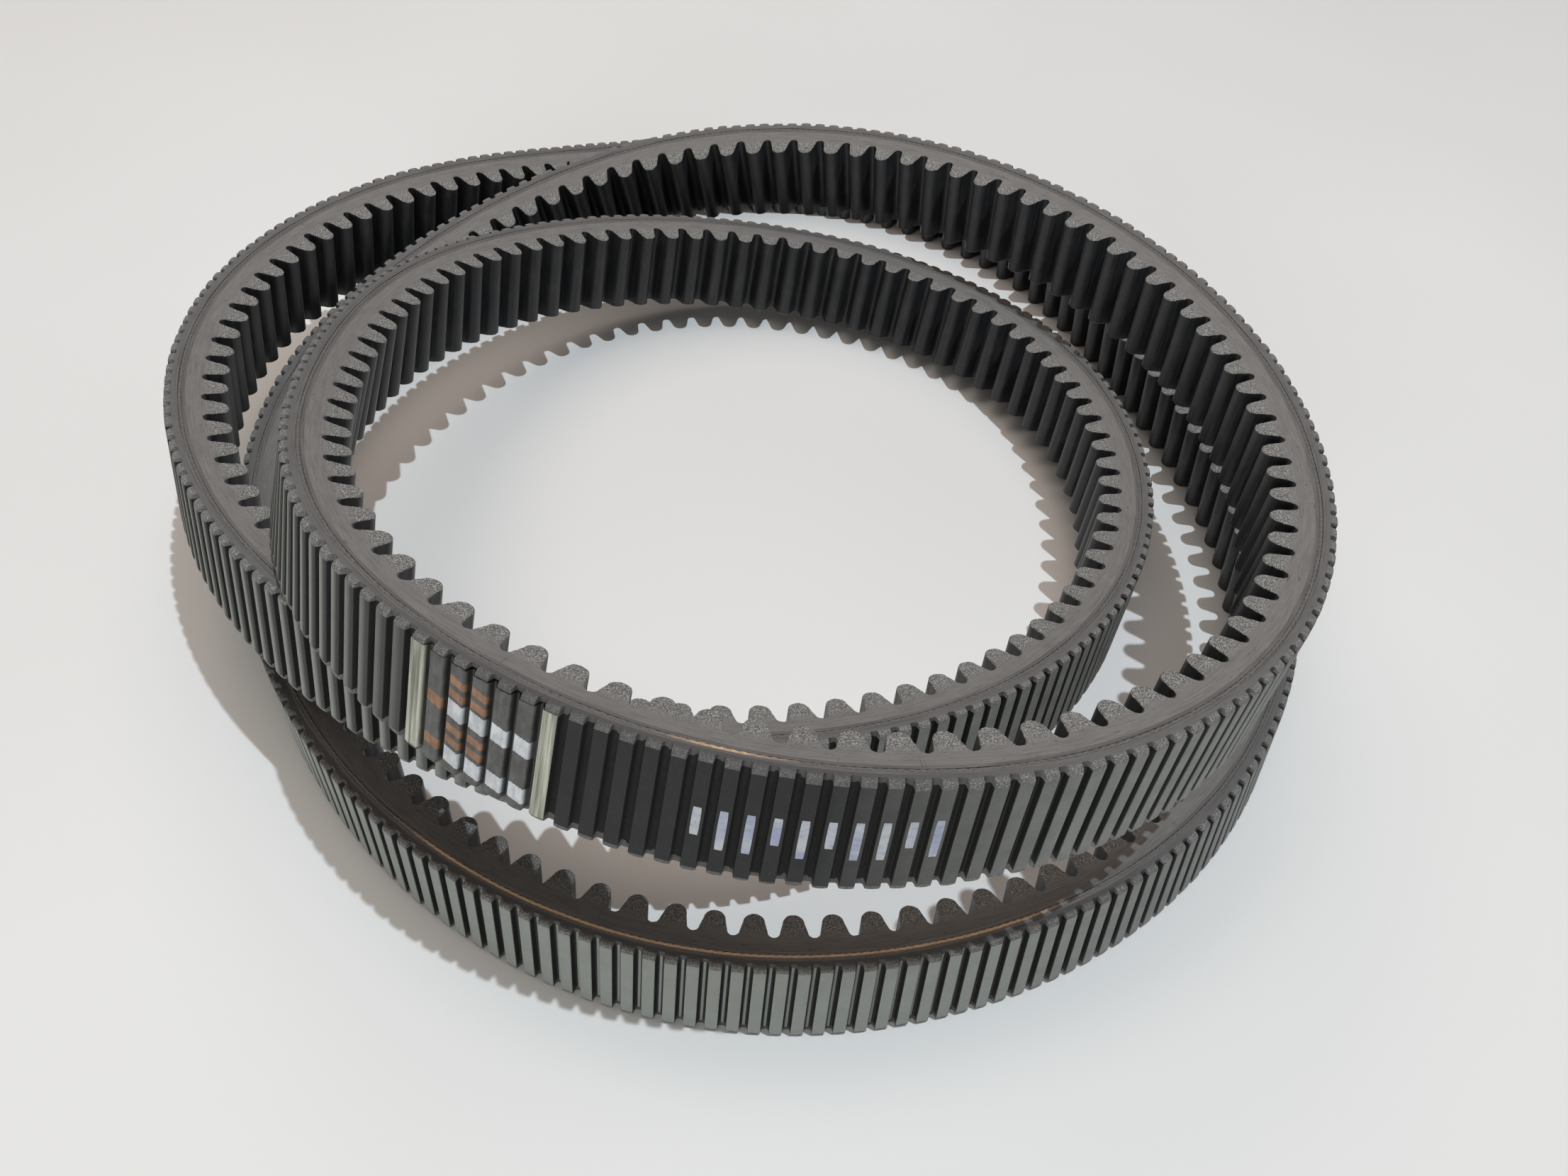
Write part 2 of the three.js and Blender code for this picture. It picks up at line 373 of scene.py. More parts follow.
GROOVE_TOP_HALF = 1.32
GROOVE_FLOOR_HALF = 0.78
GROOVE_FILLET = 0.5
GROOVE_DRAFT = 0.1  # how much a rib's wall leans between its top and its fillet
GROOVE_CROWN = 0.12  # the groove's floor is slightly convex
RIB_ROUND = 0.22  # rounding along a rib's top edges
RIB_END_LENGTH = 1.9  # a rib rounds off over this length before the cut flank
RIB_END_DROP = 0.9  # and its outline there is a low oval
RIB_END_OVAL = 2.3  # half the oval's width
RIB_END_UNEVEN = 0.3  # how much length and drop vary from rib to rib
RIB_END_SHARES = (0, 0.25, 0.6, 1)  # the rounded end's columns, as shares of its length
RIB_FACE_SHARE = 0.3  # the face's inner column, as a share of the half width


def rib_profile():
    """One groove and one rib, from groove middle to groove middle, about the rib."""
    half_pitch = RIB_PITCH / 2
    top_edge = half_pitch - GROOVE_TOP_HALF
    wall_foot = top_edge + GROOVE_DRAFT
    floor_edge = half_pitch - GROOVE_FLOOR_HALF
    right = [
        (top_edge * 0.4, RIB_TOP),
        (top_edge * 0.72, RIB_TOP),
        (top_edge - RIB_ROUND, RIB_TOP),
        (top_edge - RIB_ROUND * 0.3, RIB_TOP - RIB_ROUND * 0.3),
        (top_edge, RIB_TOP - RIB_ROUND),
        (wall_foot, RIB_ROOT + GROOVE_FILLET),
        (wall_foot + (floor_edge - wall_foot) * 0.35, RIB_ROOT + GROOVE_FILLET * 0.35),
        (floor_edge, RIB_ROOT),
        (floor_edge + GROOVE_FLOOR_HALF * 0.45, RIB_ROOT + GROOVE_CROWN * 0.75),
    ]
    left = [(-x, y) for x, y in reversed(right)]
    return np.array([(-half_pitch, RIB_ROOT + GROOVE_CROWN), *left, (0, RIB_TOP), *right])


def build_overcord(materials):
    ribs = INNER_COGS * RIBS_PER_COG
    unit = rib_profile()
    start = RIB_PHASE * COG_PITCH + RIB_PITCH / 2
    along, depth = repeat_profile(unit, RIB_PITCH, ribs, start)
    across_rib = np.tile(unit[:, 0], ribs)
    oval = np.sqrt(np.maximum(0, 1 - (across_rib / RIB_END_OVAL) ** 2))
    bottom = np.full(len(along), OVERCORD_BOTTOM - GAP / 2)
    columns = []
    for end in (1, -1):
        uneven = 1 + RIB_END_UNEVEN * np.repeat(rng.uniform(-1, 1, ribs), len(unit))
        oval_height = RIB_TOP - RIB_ROOT - RIB_END_DROP * uneven
        end_depth = np.minimum(depth, RIB_ROOT + oval_height * oval)
        half_section = [(along, end * half_width(bottom), bottom)]
        for share in RIB_END_SHARES:
            rounded = end_depth + (depth - end_depth) * math.sqrt(1 - (1 - share) ** 2)
            inner = half_width(rounded) - RIB_END_LENGTH * share * uneven
            half_section.append((along, end * inner, rounded))
        half_section.append((along, end * half_width(depth) * RIB_FACE_SHARE, depth))
        columns += half_section if end == 1 else half_section[::-1]
    # cut flank and rounded end, face between the ends, rounded end and cut flank, hidden bottom
    column_materials = (0, 0, 0, 0, 1, 1, 1, 0, 0, 0, 0, 0)
    return belt_tube("overcord", *stack_columns(columns), materials, column_materials)


# ---------------------------------------------------------------- cushions, ply and edge cords

STRIP_STEP = 0.25  # stations between rows of the plain strips
STRIP_WAVER = 0.06
FLANK_SHRINK = 0.06  # the cushions sit this far back from the flank, as soft gum does when cut
FLANK_SHRINK_EDGES = 0.4  # and this share of it where they meet the next layers
CORD_CLEARANCE = 0.02  # between the cushions and the cord


def build_strip(name, bottom, top, materials):
    """A plain strip between two depths, its flank slightly hollow."""
    station = np.arange(0, INNER_COGS, STRIP_STEP)[:, None]
    upper_flank = np.array([bottom, (bottom + top) / 2, top])
    backs = FLANK_SHRINK * np.array([FLANK_SHRINK_EDGES, 1, FLANK_SHRINK_EDGES])
    upper_side = half_width(upper_flank) - backs
    depth = np.concatenate([upper_flank, upper_flank[::-1]])
    side = np.concatenate([upper_side, -upper_side[::-1]])
    waver = STRIP_WAVER * np.stack([smooth_noise(len(station), 3) for _ in depth], axis=1)
    return belt_tube(name, station, side + waver, depth, materials)


STRAND_LAY = 5.2  # millimetres for one turn of a strand
CORD_STEP = 0.035  # stations between rows of the cord
CORD_SIDES = 12
CORD_SWELL = 0.16  # how far the strands stand past the ply's half thickness
CORD_NECK = 0.72  # the twisted pair's reach where it is narrowest, as a share of its widest
CORD_WANDER = 0.07

# The edge cords: which flank, and how far the strands stand past its cut.
EDGE_CORDS = {"upper_edge_cord": (1, 0.14), "lower_edge_cord": (-1, -0.05)}


def build_edge_cord(name, end, proud, materials):
    """The turn of cord that the flank's cut exposes: two strands twisted together."""
    station = np.arange(0, INNER_COGS, CORD_STEP)[:, None]
    turn = np.linspace(0, 2 * math.pi, CORD_SIDES, endpoint=False)[None, :]
    twist = 2 * math.pi * station * COG_PITCH / STRAND_LAY
    reach = (CORD_TOP - CORD_BOTTOM) / 2 + CORD_SWELL
    radius = reach * (CORD_NECK + (1 - CORD_NECK) * np.abs(np.cos(turn - twist)))
    middle = (CORD_TOP + CORD_BOTTOM) / 2
    wander = CORD_WANDER * smooth_noise(len(station), 30)[:, None]
    depth = middle + wander + radius * np.sin(turn)
    side = end * (half_width(middle) + proud - reach + radius * np.cos(turn))
    return belt_tube(name, station, side, depth, materials, sharp=FINE_SHARP_ANGLE)


# ---------------------------------------------------------------- transfer label

FILM_LIFT = 0.06  # the film's underside over the rib tops
FILM_THICKNESS = 0.16
FILM_DIP = 2.0  # how far it is pressed into each groove
FILM_DIP_SHAPE = 1.4  # over 1, the dip leaves the rib's edge more gently
FILM_STEP = 0.2  # millimetres between rows
FILM_COLUMNS = 150
FILM_CREASE = 0.05
FILM_RAGGED = 0.175  # how unevenly its long edges are cut

# Printed blocks on the label, as (first rib, last rib, from, to, paint), with the shares measured
# across the belt from the upper flank.
CLEAR, DARK, ORANGE, WHITE = range(4)
PRINT_BLOCKS = (
    (5, 5, 0.35, 0.46, ORANGE),
    (5, 5, 0.77, 0.87, ORANGE),
    (3, 4, 0.11, 0.18, ORANGE),
    (3, 4, 0.23, 0.30, ORANGE),
    (3, 4, 0.56, 0.63, ORANGE),
    (3, 4, 0.68, 0.75, ORANGE),
    (1, 4, 0.33, 0.49, WHITE),
    (1, 4, 0.79, 0.94, WHITE),
)
PRINT_RIBS = (1, 5)  # first and last rib with the dark print
PRINT_MARGIN = 0.06  # the blocks stop this share of a rib pitch before its grooves' middles
PRINT_SLANT = 0.05  # how much the blocks' edges climb over one rib


def film_depth(along):
    """Depth of the film's underside: flat over the ribs, dipping in the grooves."""
    past_groove = np.mod(along - RIB_PHASE * COG_PITCH + RIB_PITCH / 2, RIB_PITCH)
    from_groove = np.abs(past_groove - RIB_PITCH / 2)
    share = np.clip(1 - from_groove / (GROOVE_TOP_HALF - 0.05), 0, 1)
    return RIB_TOP + FILM_LIFT - FILM_DIP * np.sin(share * math.pi / 2) ** FILM_DIP_SHAPE


def label_print(ribs, across):
    """Paint at each point, by ribs from the label's first edge and share across from the top."""
    rib = np.floor(ribs)
    from_middle = ribs - rib - 0.5
    first_dark, last_dark = PRINT_RIBS
    paint = np.full(rib.shape, CLEAR)
    paint[(rib >= first_dark) & (rib <= last_dark)] = DARK
    level = across + PRINT_SLANT * from_middle
    inside = np.abs(from_middle) < 0.5 - PRINT_MARGIN
    for first, last, low, high, colour in PRINT_BLOCKS:
        block = (rib >= first) & (rib <= last) & (level > low) & (level < high)
        paint[block & inside] = colour
    return paint


def build_label(materials):
    start = LABEL_FROM * COG_PITCH
    end = LABEL_TO * COG_PITCH
    rows = int((end - start) / FILM_STEP)
    columns = 2 * FILM_COLUMNS
    along = np.linspace(start + GROOVE_TOP_HALF, end - GROOVE_TOP_HALF, rows)[:, None]
    under = film_depth(along) + FILM_CREASE * smooth_noise(rows, 4)[:, None]
    half = TOP_WIDTH / 2 - RIB_END_LENGTH
    top_side = np.tile(np.linspace(half, -half, FILM_COLUMNS), (rows, 1))
    top_side[:, 0] += FILM_RAGGED * smooth_noise(rows, 5)
    top_side[:, -1] += FILM_RAGGED * smooth_noise(rows, 5)
    # each row runs across the film's face and back under it
    side = np.concatenate([top_side, top_side[:, ::-1]], axis=1)
    depth = under + np.repeat([FILM_THICKNESS, 0], FILM_COLUMNS)
    j = np.arange(FILM_COLUMNS - 1)
    first_end = np.stack([j, j + 1, columns - 2 - j, columns - 1 - j], axis=1)
    last_end = (rows - 1) * columns + first_end
    body = grid_faces(rows, columns, False, True)
    faces = np.concatenate([body, first_end[:, ::-1], last_end])
    face_along = np.repeat(along, columns)[faces].mean(1)
    face_side = side.ravel()[faces].mean(1)
    paint = label_print((face_along - start) / RIB_PITCH, (half - face_side) / (2 * half))
    belt_place = (along / COG_PITCH, side, depth)
    return make_object(
        "transfer_label_film", belt_place, faces, materials, paint, FINE_SHARP_ANGLE
    )


# ---------------------------------------------------------------- ink marks

INK_FIRST_STATION = 55.3  # middle of the first marked rib
INK_BARS = (1.0, 0.7, 1.0, 1.0, 0.7, 1.0, 0.7, 1.0, 1.0, 0.7)  # heights, as shares of the band's
INK_TOP_SIDE = 6.8  # the inked band's upper end, on the first rib
INK_DRIFT = -0.38  # each rib's band starts this much lower than the last one's
INK_HEIGHT = 13.5
INK_WIDTH = 2.2
INK_LIFT = 0.035  # the ink's face over the rib's
INK_SINK = 0.01  # and its back below it
INK_ROUNDING = 0.12  # how much narrower a bar is at its corners
INK_ROWS = 9
INK_COLUMNS = 7


def rim_of(rows, columns):
    """Vertex numbers round a grid's border, in order."""
    top = np.arange(columns)
    right = columns * np.arange(1, rows) + columns - 1
    bottom = columns * (rows - 1) + np.arange(columns - 2, -1, -1)
    left = columns * np.arange(rows - 2, 0, -1)
    return np.concatenate([top, right, bottom, left])


def build_ink(material):
    """Short bars stamped on the rib tops, a thin film of ink."""
    # axes of the arrays: bar, face or back, row, column
    u = np.linspace(-1, 1, INK_COLUMNS)
    v = np.linspace(-1, 1, INK_ROWS)[:, None]
    bar = np.arange(len(INK_BARS))[:, None, None, None]
    height = INK_HEIGHT * np.array(INK_BARS)[bar]
    half_bar = INK_WIDTH / 2 * (1 - INK_ROUNDING * u**4 * v**4)
    station = INK_FIRST_STATION + (bar * RIB_PITCH + u * half_bar) / COG_PITCH
    side = INK_TOP_SIDE + INK_DRIFT * bar - height * (v + 1) / 2
    depth = np.array([RIB_TOP + INK_LIFT, RIB_TOP - INK_SINK])[:, None, None]
    back = INK_ROWS * INK_COLUMNS
    patch = grid_faces(INK_ROWS, INK_COLUMNS, False, False)
    rim = rim_of(INK_ROWS, INK_COLUMNS)
    next_rim = np.roll(rim, -1)
    walls = np.stack([rim, rim + back, next_rim + back, next_rim], axis=1)
    one_bar = np.concatenate([patch, patch[:, ::-1] + back, walls])
    faces = np.concatenate([one_bar + 2 * back * number for number in range(len(INK_BARS))])
    return make_object(
        "ink_marks", (station, side, depth), faces, [material], sharp=FINE_SHARP_ANGLE
    )


# ---------------------------------------------------------------- materials


def rgba(colour):
    """A plain (red, green, blue) with its alpha; a socket as it is."""
    return (*colour, 1) if isinstance(colour, tuple) else colour


class Nodes:
    """Short ways to lay out a material's nodes."""

    def __init__(self, name):
        self.material = bpy.data.materials.new(name)
        self.material.use_nodes = True
        self.tree = self.material.node_tree
        self.tree.nodes.clear()
        output = self.tree.nodes.new("ShaderNodeOutputMaterial")
        self.shader = self.tree.nodes.new("ShaderNodeBsdfPrincipled")
        self.link(self.shader.outputs[0], output.inputs["Surface"])
        place = self.tree.nodes.new("ShaderNodeAttribute")
        place.attribute_name = "place"
        self.place = place.outputs["Vector"]
        split = self.tree.nodes.new("ShaderNodeSeparateXYZ")
        self.link(self.place, split.inputs[0])
        self.along, self.depth, self.side = split.outputs

    def link(self, a, b):
        self.tree.links.new(a, b)

    def set(self, socket, value):
        if isinstance(value, bpy.types.NodeSocket):
            self.link(value, socket)
        else:
            socket.default_value = value

    def math(self, operation, a, b=0.0):
        node = self.tree.nodes.new("ShaderNodeMath")
        node.operation = operation
        self.set(node.inputs[0], a)
        self.set(node.inputs[1], b)
        return node.outputs[0]

    def noise(self, scale, detail, roughness, distortion=0.0):
        """Noise over the place coordinates scaled by (along, depth, side)."""
        stretched = self.tree.nodes.new("ShaderNodeVectorMath")
        stretched.operation = "MULTIPLY"
        self.link(self.place, stretched.inputs[0])
        stretched.inputs[1].default_value = scale
        node = self.tree.nodes.new("ShaderNodeTexNoise")
        node.inputs["Scale"].default_value = 1.0
        node.inputs["Detail"].default_value = detail
        node.inputs["Roughness"].default_value = roughness
        node.inputs["Distortion"].default_value = distortion
        self.link(stretched.outputs[0], node.inputs["Vector"])
        return node.outputs["Fac"]

    def ramp(self, value, low, high, to_low=0.0, to_high=1.0):
        node = self.tree.nodes.new("ShaderNodeMapRange")
        node.clamp = True
        self.link(value, node.inputs["Value"])
        node.inputs["From Min"].default_value = low
        node.inputs["From Max"].default_value = high
        node.inputs["To Min"].default_value = to_low
        node.inputs["To Max"].default_value = to_high
        return node.outputs[0]

    def mix(self, share, a, b):
        node = self.tree.nodes.new("ShaderNodeMix")
        node.data_type = "RGBA"
        self.set(node.inputs[0], share)
        self.set(node.inputs[6], rgba(a))
        self.set(node.inputs[7], rgba(b))
        return node.outputs[2]

    def within(self, *stretches, along=None):
        """1 inside any (first station, last station, fade) stretch, down to 0 at its ends."""
        along = along or self.along
        inside = 0.0
        for first, last, fade in stretches:
            rise = self.ramp(along, first * COG_PITCH, (first + fade) * COG_PITCH)
            fall = self.ramp(along, last * COG_PITCH, (last - fade) * COG_PITCH)
            inside = self.math("MAXIMUM", inside, self.math("MULTIPLY", rise, fall))
        return inside

    def bump(self, height, strength, distance):
        node = self.tree.nodes.new("ShaderNodeBump")
        node.inputs["Strength"].default_value = strength
        node.inputs["Distance"].default_value = distance * MM
        self.link(height, node.inputs["Height"])
        self.link(node.outputs[0], self.shader.inputs["Normal"])

    def finish(self, colour, roughness, specular, coat=0.0):
        self.set(self.shader.inputs["Base Color"], rgba(colour))
        self.set(self.shader.inputs["Roughness"], roughness)
        self.shader.inputs["Specular IOR Level"].default_value = specular
        self.shader.inputs["Coat Weight"].default_value = coat
        return self.material


# Stretches of the belt that look different, as (first station, last station, fade).
SHADED_BY_LAP_ABOVE = (230.0, 266.0, 4.0)  # painted shade: the flank and the rib ends darkened where the lap above shades them
LIGHTER_RIBS = (232.0, 266.0, 4.0)  # the ribs are lighter grey here, and a strip of each groove floor is left out of the painted groove shade
DARKER_STRETCH = (52.5, 69.0, 5.0)  # the ribs and the band beside them are darker here
SIDE_LIT = ((62.0, 92.0, 6.0), (140.0, 178.0, 6.0))  # painted light and shade: the ribs lighter, and each rib's half toward the lower stations darkened
BARE_CORD = ((234.0, 251.5, 1.6), (58.2, 61.0, 1.2))  # the cut has bared the upper flank's cord

# painted shade for the depths of the grooves, on the ribs and on the film pressed into them
GROOVE_SHADE = (0.010, 0.010, 0.009)


def cut_rubber():
    """The knife-cut flank: scuffed along the belt, with chopped fibre ends in the cogs and ribs."""
    n = Nodes("cut_rubber")
    streaks = n.noise((0.10, 2.2, 2.2), 5, 0.65)
    blotches = n.noise((0.10, 0.22, 0.22), 4, 0.6)
    scuffs = n.noise((0.28, 1.3, 1.3), 4, 0.6, 0.8)
    fibres = n.noise((2.2, 2.8, 2.8), 2, 0.6, 0.5)
    in_cogs = n.ramp(n.depth, -7.2, -10.5)
    in_ribs = n.ramp(n.depth, 2.3, 3.0, 0.0, 0.6)
    fibrous = n.math("MAXIMUM", in_cogs, in_ribs)

    # the band between the cogs and the ribs, darker outside the cord
    body = n.mix(n.ramp(streaks, 0.3, 0.7), (0.128, 0.120, 0.115), (0.222, 0.209, 0.200))
    body = n.mix(n.ramp(blotches, 0.35, 0.7, 0.0, 0.5), body, (0.228, 0.218, 0.208))
    body = n.mix(n.ramp(n.depth, 0.2, 0.7, 0.0, 0.6), body, (0.105, 0.105, 0.107))
    body = n.mix(n.ramp(scuffs, 0.62, 0.72, 0.0, 0.75), body, (0.055, 0.051, 0.049))
    ends = n.mix(n.ramp(fibres, 0.47, 0.62), (0.110, 0.107, 0.102), (0.42, 0.41, 0.39))
    cut = n.mix(fibrous, body, ends)

    # the band beside the ribs darker in one stretch
    darker_stretch = n.math("MULTIPLY", n.within(DARKER_STRETCH), n.ramp(n.depth, 0.2, 0.7, 0.0, 0.6))
    cut = n.mix(darker_stretch, cut, (0.055, 0.053, 0.053))
    # painted shade cast by the lap above: darkens the flank, and the rib ends less
    lap_shade = n.math("MULTIPLY", n.within(SHADED_BY_LAP_ABOVE), n.ramp(n.depth, COG_ROOT, 2.6, 0.3, 0.62))
    lap_shade = n.math("MULTIPLY", lap_shade, n.ramp(n.depth, 2.7, 3.4, 1.0, 0.55))
    cut = n.mix(lap_shade, cut, (0.028, 0.024, 0.022))

    n.bump(n.math("ADD", streaks, n.math("MULTIPLY", fibres, fibrous)), 0.7, 0.3)
    return n.finish(cut, n.ramp(fibres, 0.3, 0.7, 0.8, 0.6), 0.35)


def cog_face_rubber():
    """The moulded inner faces: near black, drawn in fine lines across the belt, painted lighter
    along the lines as sheen.
    """
    n = Nodes("cog_face_rubber")
    lines = n.noise((1.6, 1.6, 0.05), 4, 0.6)
    dust = n.noise((0.12, 0.12, 0.10), 4, 0.6)
    # painted sheen: the fine moulded lines lighter than the black between them
    colour = n.mix(n.ramp(lines, 0.35, 0.7), (0.012, 0.0125, 0.0135), (0.034, 0.035, 0.038))
    colour = n.mix(n.ramp(dust, 0.5, 0.8, 0.0, 0.5), colour, (0.065, 0.064, 0.062))
    n.bump(lines, 0.35, 0.12)
    return n.finish(colour, n.ramp(lines, 0.3, 0.7, 0.36, 0.52), 0.5)


GROOVE_FLOOR_LIT = 0.5  # half the width of the strip along a groove's floor that the painted groove shade leaves out


def rib_rubber():
    """The moulded ribs: dusty grey on their tops, with painted shade near black down the groove
    walls.
    """
    n = Nodes("rib_rubber")
    cloud = n.noise((0.10, 0.10, 0.16), 4, 0.6)
    grain = n.noise((1.1, 1.1, 0.9), 4, 0.65)
    specks = n.noise((0.55, 0.55, 0.4), 5, 0.75, 0.8)
    past_groove = n.math("SUBTRACT", n.along, RIB_PHASE * COG_PITCH)
    past_groove = n.math("FLOORED_MODULO", past_groove, RIB_PITCH)
    past_middle = n.math("SUBTRACT", past_groove, RIB_PITCH / 2)
    from_groove = n.math("SUBTRACT", RIB_PITCH / 2, n.math("ABSOLUTE", past_middle))

    # the dust on the rib tops; one stretch lighter grey, one darker, and two with painted light and
    # shade on the ribs
    colour = n.mix(n.ramp(cloud, 0.3, 0.7), (0.135, 0.141, 0.130), (0.200, 0.206, 0.192))
    # painted light: the ribs lighter in these stretches
    wear_and_side_light = n.within(*SIDE_LIT)
    colour = n.mix(n.math("MULTIPLY", wear_and_side_light, 0.55), colour, (0.30, 0.31, 0.28))
    # painted shade on each rib's half toward the lower stations
    side_shade = n.math("MULTIPLY", wear_and_side_light, n.ramp(past_middle, 1.0, -0.9, 0.0, 0.9))
    colour = n.mix(side_shade, colour, (0.020, 0.020, 0.019))
    # the ribs lighter grey in this stretch
    lighter_ribs = n.within(LIGHTER_RIBS)
    colour = n.mix(n.math("MULTIPLY", lighter_ribs, 0.55), colour, (0.26, 0.275, 0.25))
    colour = n.mix(n.ramp(grain, 0.40, 0.75, 0.0, 0.20), colour, (0.20, 0.20, 0.19))
    # the ribs darker in one stretch
    darker_stretch = n.math("MULTIPLY", n.within(DARKER_STRETCH), 0.93)
    colour = n.mix(darker_stretch, colour, (0.012, 0.011, 0.013))
    colour = n.mix(n.ramp(specks, 0.66, 0.76, 0.0, 0.7), colour, (0.035, 0.034, 0.030))

    # painted shade down the grooves, near black; in the lighter stretch a strip along each floor is
    # left out, where the floor faces out into the light
    off_floor = n.ramp(from_groove, GROOVE_FLOOR_LIT * 0.6, GROOVE_FLOOR_LIT)
    off_floor = n.math("MAXIMUM", off_floor, n.math("SUBTRACT", 1.0, lighter_ribs))
    below_top = n.ramp(n.depth, RIB_TOP - 0.1, RIB_TOP - 0.4)
    colour = n.mix(n.math("MULTIPLY", off_floor, below_top), colour, GROOVE_SHADE)

    n.bump(n.math("ADD", grain, specks), 0.25, 0.12)
    matt = n.math("MULTIPLY", n.math("MAXIMUM", darker_stretch, side_shade), 0.35)
    roughness = n.math("ADD", n.ramp(grain, 0.3, 0.7, 0.42, 0.58), matt)
    return n.finish(colour, roughness, 0.35)


def gum_rubber():
    """The adhesion rubber at the flank, streaked along the belt by the knife."""
    n = Nodes("gum_rubber")
    streaks = n.noise((0.08, 3.0, 3.0), 4, 0.6)
    colour = n.mix(n.ramp(streaks, 0.35, 0.7), (0.095, 0.089, 0.085), (0.175, 0.164, 0.157))
    n.bump(streaks, 0.5, 0.2)
    return n.finish(colour, 0.72, 0.35)


def cord_yarn():
    """Twisted polyester: tan where the cut has bared it, else smeared over with grey rubber."""
    n = Nodes("cord_yarn")
    patch = n.noise((0.35, 0.6, 0.6), 4, 0.65)
    fibres = n.noise((1.2, 5.0, 5.0), 3, 0.6)
    wander = n.math("MULTIPLY", n.math("SUBTRACT", patch, 0.5), 1.6 * COG_PITCH)
    bare = n.within(*BARE_CORD, along=n.math("ADD", n.along, wander))
    bare = n.math("MULTIPLY", bare, n.math("GREATER_THAN", n.side, 0.0))
    tan = n.mix(n.ramp(fibres, 0.3, 0.7), (0.34, 0.215, 0.125), (0.74, 0.54, 0.36))
    grey = n.mix(n.ramp(fibres, 0.35, 0.7), (0.085, 0.080, 0.077), (0.21, 0.198, 0.190))
    n.bump(fibres, 0.5, 0.15)
    return n.finish(n.mix(bare, grey, tan), 0.8, 0.3)


PRINT_GRAIN = (0.5, 0.5, 0.22)
CLEAR_FILM_GRAIN = (0.9, 0.3, 0.03)  # streaks across the belt; on the clear film the light streaks are painted glints


def label_film(name, dark, light, roughness, grain=PRINT_GRAIN, coat=0.0):
    """Print or clear film, in the dark where it is pressed into the grooves."""
    n = Nodes(name)
    cloud = n.noise(grain, 4, 0.6)
    wrinkle = n.noise((0.9, 0.9, 0.14), 3, 0.6)
    colour = n.mix(n.ramp(cloud, 0.38, 0.65), dark, light)
    # painted shade where the film dips into a groove
    in_groove = n.ramp(n.depth, RIB_TOP - 0.15, RIB_TOP - 0.9, 0.0, 0.9)
    colour = n.mix(in_groove, colour, GROOVE_SHADE)
    n.bump(wrinkle, 0.3, 0.25)
    return n.finish(colour, roughness, 0.5, coat)


def label_films():
    """The label's materials, in the order CLEAR, DARK, ORANGE, WHITE."""
    clear_dark = (0.12, 0.12, 0.085)
    # painted glints: the clear film's light colour, laid in streaks across the belt
    clear_glint = (0.50, 0.50, 0.41)
    return [
        label_film("label_clear_film", clear_dark, clear_glint, 0.25, CLEAR_FILM_GRAIN, 0.5),
        label_film("label_dark_print", (0.050, 0.049, 0.048), (0.095, 0.093, 0.090), 0.3),
        label_film("label_orange_print", (0.20, 0.095, 0.045), (0.32, 0.165, 0.090), 0.4),
        label_film("label_white_print", (0.42, 0.43, 0.45), (0.62, 0.64, 0.66), 0.4),
    ]


def ink():
    """Stamped ink: white going to violet, and worn through in specks."""
    n = Nodes("ink")
    wear_and_side_light = n.noise((1.3, 1.3, 1.1), 5, 0.7)
    tint = n.noise((0.10, 0.10, 0.30), 2, 0.5)
    white = n.mix(n.ramp(tint, 0.4, 0.65), (0.44, 0.46, 0.48), (0.30, 0.32, 0.44))
    colour = n.mix(n.ramp(wear_and_side_light, 0.68, 0.58), (0.10, 0.10, 0.10), white)
    return n.finish(colour, 0.6, 0.4)


def table_surface():
    """Pale laminate with the faintest clouding."""
    n = Nodes("pale_table")
    coordinate = n.tree.nodes.new("ShaderNodeTexCoord")
    cloud = n.tree.nodes.new("ShaderNodeTexNoise")
    cloud.inputs["Scale"].default_value = 3.0
    n.link(coordinate.outputs["Object"], cloud.inputs["Vector"])
    share = n.ramp(cloud.outputs["Fac"], 0.3, 0.7)
    colour = n.mix(share, (0.765, 0.760, 0.745), (0.80, 0.795, 0.785))
    return n.finish(colour, 0.55, 0.3)


# ---------------------------------------------------------------- the pieces


def stand_for(piece, slot, *nodes):
    """Makes a piece ride on the belt's one body and take the place of CAD nodes, if any."""
    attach(piece, "root")
    if nodes:
        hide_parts(*nodes)


flank = cut_rubber()
gum = gum_rubber()
yarn = cord_yarn()

stand_for(build_undercord([flank, cog_face_rubber()]), "undercord", "undercord_rubber")
stand_for(build_overcord([flank, rib_rubber()]), "overcord", "overcord_rubber")

CUSHIONS = {
    "lower_cushion": (UNDERCORD_TOP + GAP / 2, CORD_BOTTOM - CORD_CLEARANCE),
    "upper_cushion": (CORD_TOP + CORD_CLEARANCE, OVERCORD_BOTTOM - GAP / 2),
}
for name, (bottom, top) in CUSHIONS.items():
    stand_for(build_strip(name, bottom, top, [gum]), "cushion", f"{name}_gum")

for name, (end, proud) in EDGE_CORDS.items():
    piece = build_edge_cord(name.replace("edge", "twisted"), end, proud, [yarn])
    stand_for(piece, "cord", name)

stand_for(build_label(label_films()), "label", "transfer_label")
stand_for(build_ink(ink()), "label")

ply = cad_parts["tensile_cord_ply"]
ply.data.materials.clear()
ply.data.materials.append(yarn)

# ---------------------------------------------------------------- table, light and camera

TABLE_SIZE = 6.0
# name, place, target, watts, diameter, colour
LIGHTS = (
    ("overhead", (0.74, -0.08, 3.2), (0, 0, 0), 54, 0.05, (0.90, 1.0, 1.08)),
    ("ceiling", (-0.3, 0.45, 1.8), (0, 0, 0), 17, 2.0, (1.0, 0.87, 0.78)),
    ("front_fill", (-0.35, -1.5, 0.34), (0, -0.1, 0.05), 10, 0.9, (0.95, 1.0, 0.99)),
)
ROOM_COLOUR = (1.0, 0.90, 0.83)
ROOM_STRENGTH = 0.12

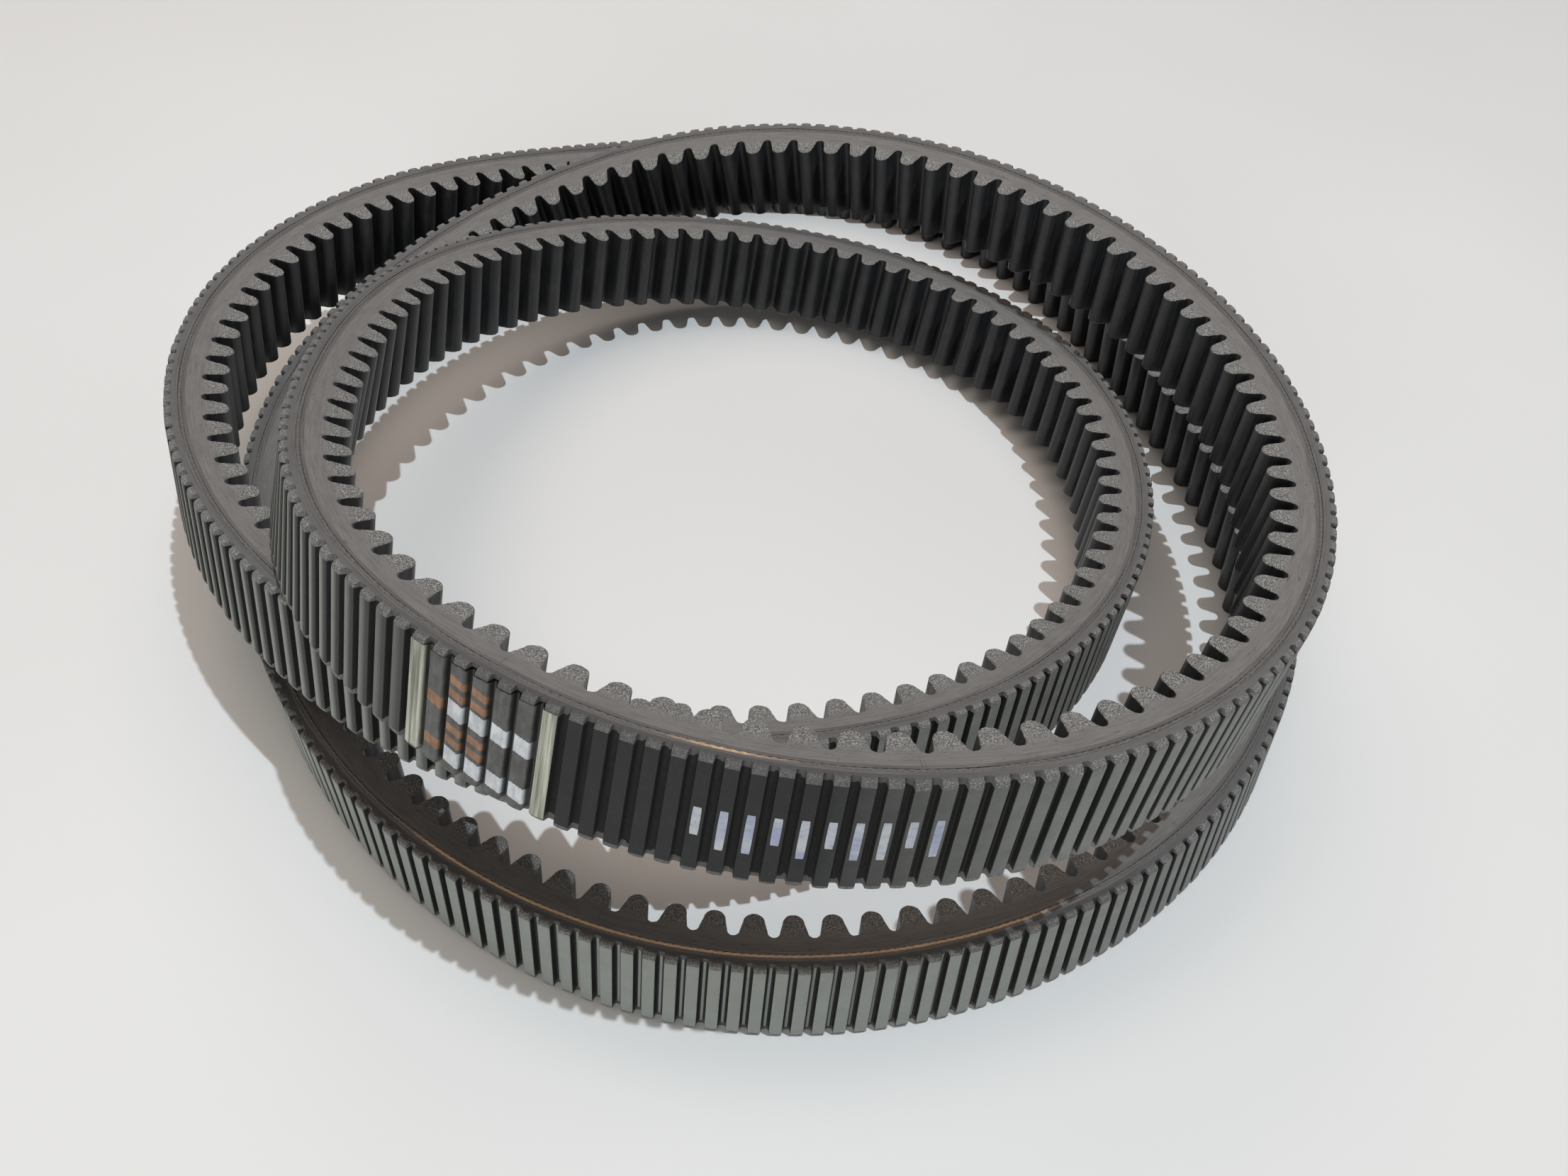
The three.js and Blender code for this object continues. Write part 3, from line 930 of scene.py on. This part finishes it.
CAMERA_PLACE = (28.845 * MM, -371.469 * MM, 380.284 * MM)
CAMERA_AZIMUTH = -1.65
CAMERA_DOWN = 50.08
CAMERA_ROLL = 5.79
LENS = 27.77
SENSOR_WIDTH = 36
CLIP_START = 0.01


def add_table():
    bpy.ops.mesh.primitive_plane_add(size=TABLE_SIZE, location=(0, 0, 0))
    table = bpy.context.object
    table.name = "table_top"
    table.data.materials.append(table_surface())


def add_light(name, place, target, watts, diameter, colour):
    data = bpy.data.lights.new(name, "AREA")
    data.energy = watts
    data.color = colour
    data.shape = "DISK"
    data.size = diameter
    light = bpy.data.objects.new(name, data)
    light.location = place
    towards = Vector(target) - Vector(place)
    light.rotation_euler = towards.to_track_quat("-Z", "Y").to_euler()
    bpy.context.scene.collection.objects.link(light)


def add_room():
    world = bpy.data.worlds.new("soft_room")
    world.use_nodes = True
    background = world.node_tree.nodes["Background"].inputs
    background["Color"].default_value = rgba(ROOM_COLOUR)
    background["Strength"].default_value = ROOM_STRENGTH
    bpy.context.scene.world = world
    bpy.context.scene.view_settings.view_transform = "Standard"


def add_camera():
    azimuth, down, roll = (math.radians(a) for a in (CAMERA_AZIMUTH, CAMERA_DOWN, CAMERA_ROLL))
    level = Vector((math.sin(azimuth), math.cos(azimuth), 0))
    forward = level * math.cos(down) - Vector((0, 0, math.sin(down)))
    right = Vector((math.cos(azimuth), -math.sin(azimuth), 0))
    up = right.cross(forward)
    turned_right = math.cos(roll) * right + math.sin(roll) * up
    turned_up = math.cos(roll) * up - math.sin(roll) * right
    data = bpy.data.cameras.new("camera")
    data.lens = LENS
    data.sensor_width = SENSOR_WIDTH
    data.clip_start = CLIP_START
    camera = bpy.data.objects.new("camera", data)
    rotation = Matrix((turned_right, turned_up, -forward)).transposed().to_4x4()
    camera.matrix_world = Matrix.Translation(CAMERA_PLACE) @ rotation
    bpy.context.scene.collection.objects.link(camera)
    bpy.context.scene.camera = camera


add_table()
for light in LIGHTS:
    add_light(*light)
add_room()
add_camera()

bpy.context.view_layer.update()
